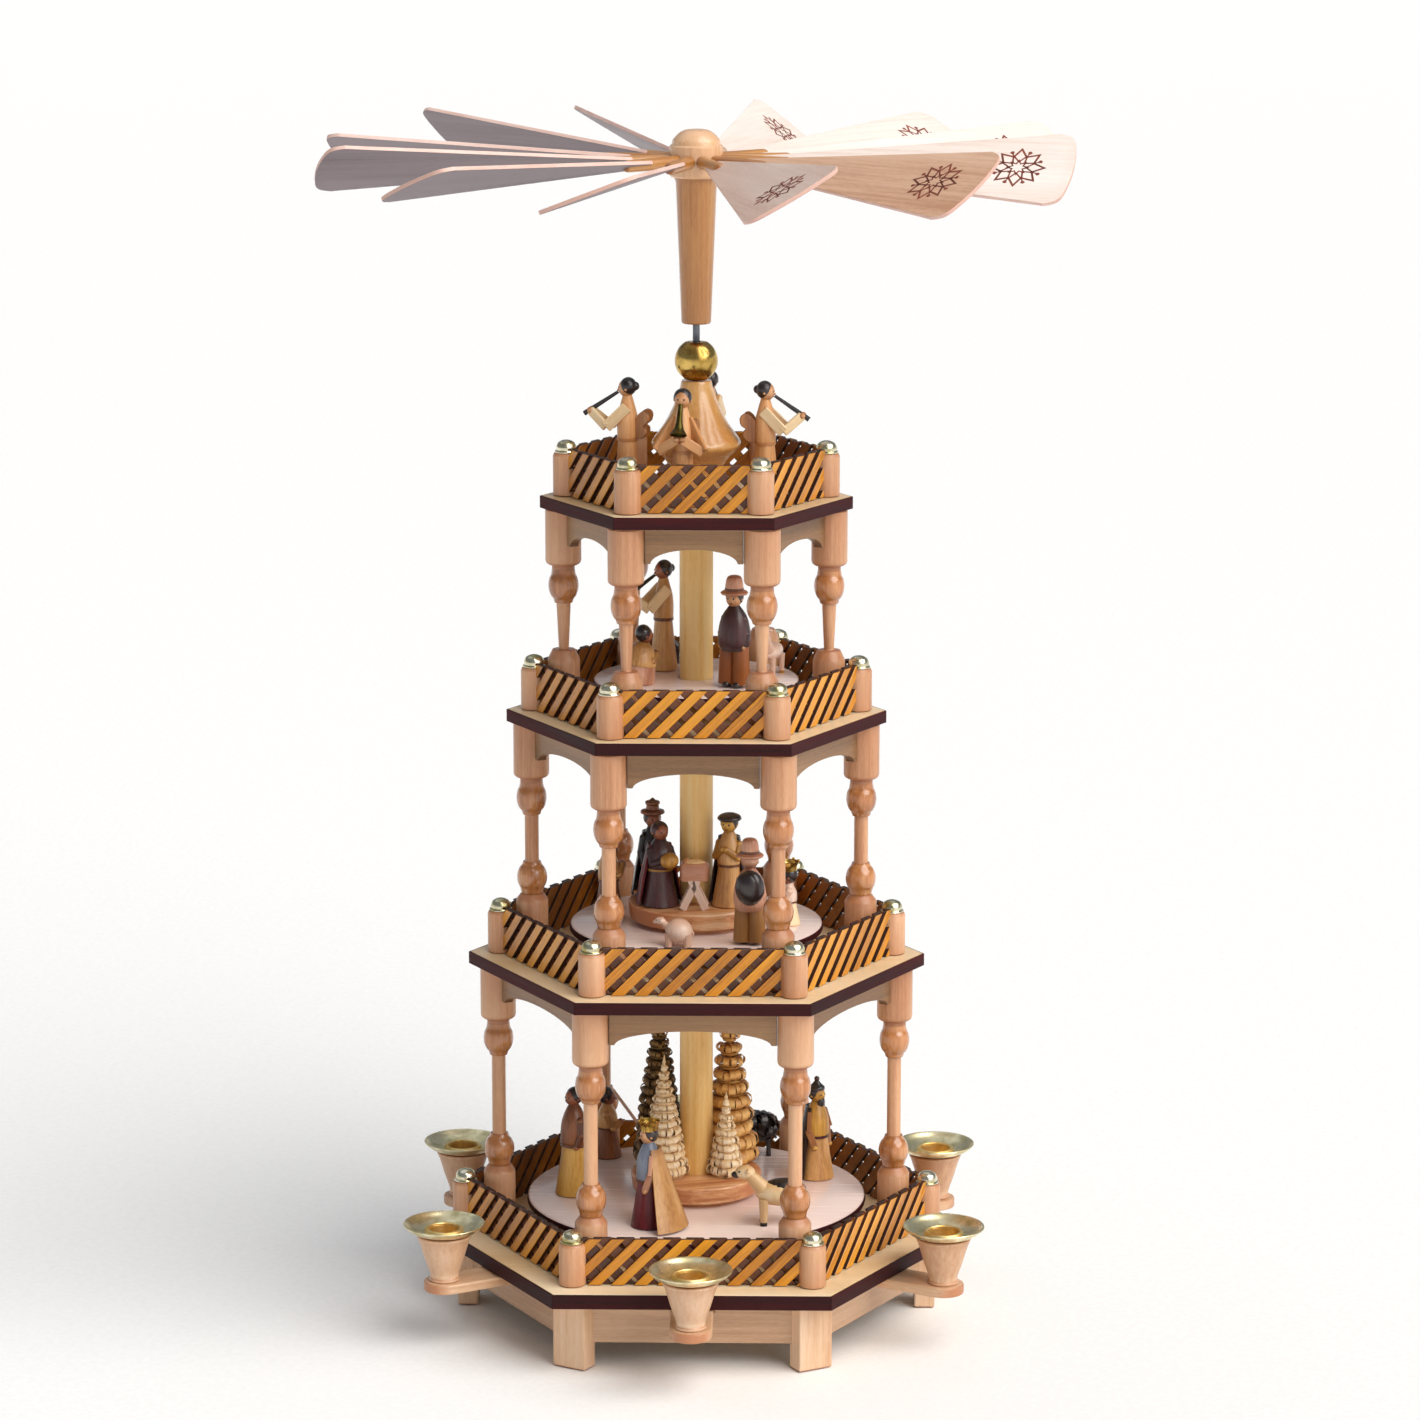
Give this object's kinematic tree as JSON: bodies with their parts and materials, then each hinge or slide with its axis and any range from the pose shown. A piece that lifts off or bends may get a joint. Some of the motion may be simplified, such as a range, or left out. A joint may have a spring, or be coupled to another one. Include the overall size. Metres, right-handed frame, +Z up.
{
  "type": "christmas pyramid",
  "caption": "Six-sided wooden candle tower with turned columns, lattice railings, figures on turning discs and a paddle wheel on top.",
  "frame": {"origin": "on the table, under the shaft: centre of the tower's footprint", "axes": "+Z up along the shaft; -Y out of the front side, the flat side that faces the camera; +X to the right"},
  "size_m": [0.3379, 0.3379, 0.5498],
  "materials": {
    "base_wood": "clear-lacquered beech board, satin",
    "plate_wood": "pale maple-faced plate with maroon-stained edge bands, satin",
    "arm_wood": "clear-lacquered beech, satin",
    "railing_wood": "golden pine slats and cream turned posts, satin",
    "column_wood": "turned beech, clear lacquer",
    "spire_wood": "turned pine, honey lacquer, glossy",
    "shaft_wood": "turned pine, clear lacquer",
    "turntable_lacquer": "pale glossy lacquer, painted carved figures",
    "hub_wood": "turned pine, honey lacquer",
    "paddle_wood": "thin pale maple board with a burnt star",
    "brass": "polished, slightly aged",
    "steel": "drawn steel wire"
  },
  "bodies": {
    "tower": {"base_frame": "base_wood", "base_plate": "plate_wood", "bearing_cup": "brass", "candle_arm_1": "arm_wood", "candle_arm_2": "arm_wood", "candle_arm_3": "arm_wood", "candle_arm_4": "arm_wood", "candle_arm_5": "arm_wood", "candle_arm_6": "arm_wood", "drip_pan_1": "brass", "drip_pan_2": "brass", "drip_pan_3": "brass", "drip_pan_4": "brass", "drip_pan_5": "brass", "drip_pan_6": "brass", "deck_2": "plate_wood", "deck_3": "plate_wood", "deck_4": "plate_wood", "railing_1": "railing_wood", "railing_2": "railing_wood", "railing_3": "railing_wood", "railing_4": "railing_wood", "column_1_1": "column_wood", "column_1_2": "column_wood", "column_1_3": "column_wood", "column_1_4": "column_wood", "column_1_5": "column_wood", "column_1_6": "column_wood", "column_2_1": "column_wood", "column_2_2": "column_wood", "column_2_3": "column_wood", "column_2_4": "column_wood", "column_2_5": "column_wood", "column_2_6": "column_wood", "column_3_1": "column_wood", "column_3_2": "column_wood", "column_3_3": "column_wood", "column_3_4": "column_wood", "column_3_5": "column_wood", "column_3_6": "column_wood", "spire": "spire_wood", "brass_ball": "brass"},
    "rotor": {"shaft": "shaft_wood", "turntable_1": "turntable_lacquer", "turntable_2": "turntable_lacquer", "turntable_3": "turntable_lacquer", "spindle_wire": "steel", "wheel_hub": "hub_wood"},
    "paddle_1": {"paddle_1": "paddle_wood"},
    "paddle_2": {"paddle_2": "paddle_wood"},
    "paddle_3": {"paddle_3": "paddle_wood"},
    "paddle_4": {"paddle_4": "paddle_wood"},
    "paddle_5": {"paddle_5": "paddle_wood"},
    "paddle_6": {"paddle_6": "paddle_wood"},
    "paddle_7": {"paddle_7": "paddle_wood"},
    "paddle_8": {"paddle_8": "paddle_wood"},
    "paddle_9": {"paddle_9": "paddle_wood"},
    "paddle_10": {"paddle_10": "paddle_wood"},
    "paddle_11": {"paddle_11": "paddle_wood"},
    "paddle_12": {"paddle_12": "paddle_wood"}
  },
  "joints": [
    {"name": "rotor_spin", "type": "hinge", "parent": "tower", "child": "rotor", "pos_m": [0, 0, 0.0416], "axis": [0, 0, 1], "continuous": true},
    {"name": "paddle_1_pitch", "type": "hinge", "parent": "rotor", "child": "paddle_1", "pos_m": [0.0115, 0.00308, 0.5342], "axis": [0.9659, 0.2588, 0], "range_deg": [-32, 58]},
    {"name": "paddle_2_pitch", "type": "hinge", "parent": "rotor", "child": "paddle_2", "pos_m": [0.00842, 0.00842, 0.5342], "axis": [0.7071, 0.7071, 0], "range_deg": [-28, 62]},
    {"name": "paddle_3_pitch", "type": "hinge", "parent": "rotor", "child": "paddle_3", "pos_m": [0.00308, 0.0115, 0.5342], "axis": [0.2588, 0.9659, 0], "range_deg": [-38, 52]},
    {"name": "paddle_4_pitch", "type": "hinge", "parent": "rotor", "child": "paddle_4", "pos_m": [-0.00308, 0.0115, 0.5342], "axis": [-0.2588, 0.9659, 0], "range_deg": [-31, 59]},
    {"name": "paddle_5_pitch", "type": "hinge", "parent": "rotor", "child": "paddle_5", "pos_m": [-0.00842, 0.00842, 0.5342], "axis": [-0.7071, 0.7071, 0], "range_deg": [-40, 50]},
    {"name": "paddle_6_pitch", "type": "hinge", "parent": "rotor", "child": "paddle_6", "pos_m": [-0.0115, 0.00308, 0.5342], "axis": [-0.9659, 0.2588, 0], "range_deg": [-24, 66]},
    {"name": "paddle_7_pitch", "type": "hinge", "parent": "rotor", "child": "paddle_7", "pos_m": [-0.0115, -0.00308, 0.5342], "axis": [-0.9659, -0.2588, 0], "range_deg": [-29, 61]},
    {"name": "paddle_8_pitch", "type": "hinge", "parent": "rotor", "child": "paddle_8", "pos_m": [-0.00842, -0.00842, 0.5342], "axis": [-0.7071, -0.7071, 0], "range_deg": [-21, 69]},
    {"name": "paddle_9_pitch", "type": "hinge", "parent": "rotor", "child": "paddle_9", "pos_m": [-0.00308, -0.0115, 0.5342], "axis": [-0.2588, -0.9659, 0], "range_deg": [-21, 69]},
    {"name": "paddle_10_pitch", "type": "hinge", "parent": "rotor", "child": "paddle_10", "pos_m": [0.00308, -0.0115, 0.5342], "axis": [0.2588, -0.9659, 0], "range_deg": [-29, 61]},
    {"name": "paddle_11_pitch", "type": "hinge", "parent": "rotor", "child": "paddle_11", "pos_m": [0.00842, -0.00842, 0.5342], "axis": [0.7071, -0.7071, 0], "range_deg": [-33, 57]},
    {"name": "paddle_12_pitch", "type": "hinge", "parent": "rotor", "child": "paddle_12", "pos_m": [0.0115, -0.00308, 0.5342], "axis": [0.9659, -0.2588, 0], "range_deg": [-36, 54]}
  ]
}
